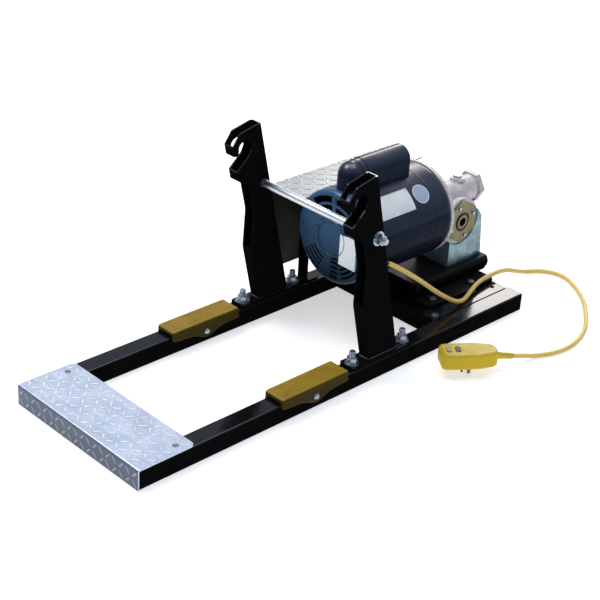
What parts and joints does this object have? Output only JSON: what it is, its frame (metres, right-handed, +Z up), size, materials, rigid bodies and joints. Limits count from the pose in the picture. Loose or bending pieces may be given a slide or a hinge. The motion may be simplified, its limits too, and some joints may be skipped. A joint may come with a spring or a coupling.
{
  "type": "motor drive frame",
  "caption": "Floor-standing ladder frame with hooked posts, a tie rod, rocking side pads, a sheet guard, and an electric motor driving a hollow-shaft worm gearbox, with its lead and plug.",
  "frame": {"origin": "on the floor, under the middle of the frame's bounding box", "axes": "+Z up, +Y towards the gearbox end, -Y towards the step plate, +X towards the gland side"},
  "size_m": [0.5272, 1.1921, 0.4228],
  "materials": {
    "black_paint": "gloss",
    "tread_sheet": "bright",
    "zinc_steel": "zinc plated",
    "pad_plastic": "moulded",
    "motor_paint": "satin",
    "bell_paint": "satin",
    "cover_plate": "satin",
    "label": "blank",
    "machined_steel": "turned",
    "laminations": "stamped",
    "copper_wire": "varnished",
    "fan_plastic": "moulded",
    "capacitor_can": "moulded",
    "gear_case": "polished",
    "bronze": "hobbed",
    "seal_rubber": "moulded",
    "lead_rubber": "satin",
    "plug_yellow": "satin",
    "blade_brass": "plain",
    "button_grey": "moulded",
    "button_black": "moulded"
  },
  "bodies": {
    "frame": {"left_rail": "black_paint", "right_rail": "black_paint", "front_cross_tube": "black_paint", "step_plate": "tread_sheet", "step_screws": "zinc_steel", "platform_front_tube": "black_paint", "platform_rear_tube": "black_paint", "motor_platform": "black_paint", "hex_bolts": "zinc_steel", "base_nuts": "zinc_steel", "left_post": "black_paint", "right_post": "black_paint", "left_foot": "black_paint", "right_foot": "black_paint", "foot_studs": "zinc_steel", "half_inch_washers": "zinc_steel", "half_inch_nuts": "zinc_steel", "tie_rod": "zinc_steel", "pad_pins": "zinc_steel", "guard_plate": "tread_sheet", "guard_brackets": "black_paint", "guard_screws": "zinc_steel", "motor_base": "black_paint", "motor_shell": "motor_paint", "front_end_bell": "bell_paint", "rear_end_bell": "motor_paint", "through_bolts": "zinc_steel", "stator_core": "laminations", "stator_windings": "copper_wire", "motor_bearings": "machined_steel", "capacitor_cover": "motor_paint", "start_capacitor": "capacitor_can", "terminal_cover": "cover_plate", "nameplate": "label", "round_label": "label", "gearbox_flange": "gear_case", "gearbox_housing": "gear_case", "gearbox_bracket": "gear_case", "gearbox_side_covers": "gear_case", "side_cover_screws": "zinc_steel", "output_bearings": "machined_steel", "output_seals": "seal_rubber", "worm_bearings": "machined_steel", "worm_end_cap": "gear_case", "oil_plug": "zinc_steel", "cord_gland": "capacitor_can", "power_cord": "lead_rubber", "plug_body": "plug_yellow", "plug_blades": "blade_brass"},
    "rotor_set": {"rotor": "laminations", "motor_shaft": "machined_steel", "cooling_fan": "fan_plastic", "centrifugal_switch": "capacitor_can", "worm": "machined_steel"},
    "output_set": {"worm_wheel": "bronze", "output_shaft": "machined_steel"},
    "left_rocker": {"left_pad": "pad_plastic"},
    "right_rocker": {"right_pad": "pad_plastic"},
    "test_key": {"test_button": "button_grey"},
    "reset_key": {"reset_button": "button_black"}
  },
  "joints": [
    {"name": "motor_spin", "type": "hinge", "parent": "frame", "child": "rotor_set", "pos_m": [0, 0.2, 0.218], "axis": [0, 1, 0], "continuous": true},
    {"name": "output_spin", "type": "hinge", "parent": "frame", "child": "output_set", "pos_m": [0, 0.4285, 0.172], "axis": [1, 0, 0], "continuous": true},
    {"name": "left_pad_rock", "type": "hinge", "parent": "frame", "child": "left_rocker", "pos_m": [-0.152, -0.103, 0.026], "axis": [1, 0, 0], "range_deg": [-2, 2]},
    {"name": "right_pad_rock", "type": "hinge", "parent": "frame", "child": "right_rocker", "pos_m": [0.152, -0.103, 0.026], "axis": [1, 0, 0], "range_deg": [-2, 2]},
    {"name": "test_press", "type": "slide", "parent": "frame", "child": "test_key", "axis": [0, 0, 1], "range_m": [-0.0015, 0], "stiffness_N_per_m": 300},
    {"name": "reset_press", "type": "slide", "parent": "frame", "child": "reset_key", "axis": [0, 0, 1], "range_m": [-0.0015, 0], "stiffness_N_per_m": 300}
  ],
  "couplings": [
    {"joint": "output_spin", "follows": "motor_spin", "ratio": 0.033333}
  ]
}
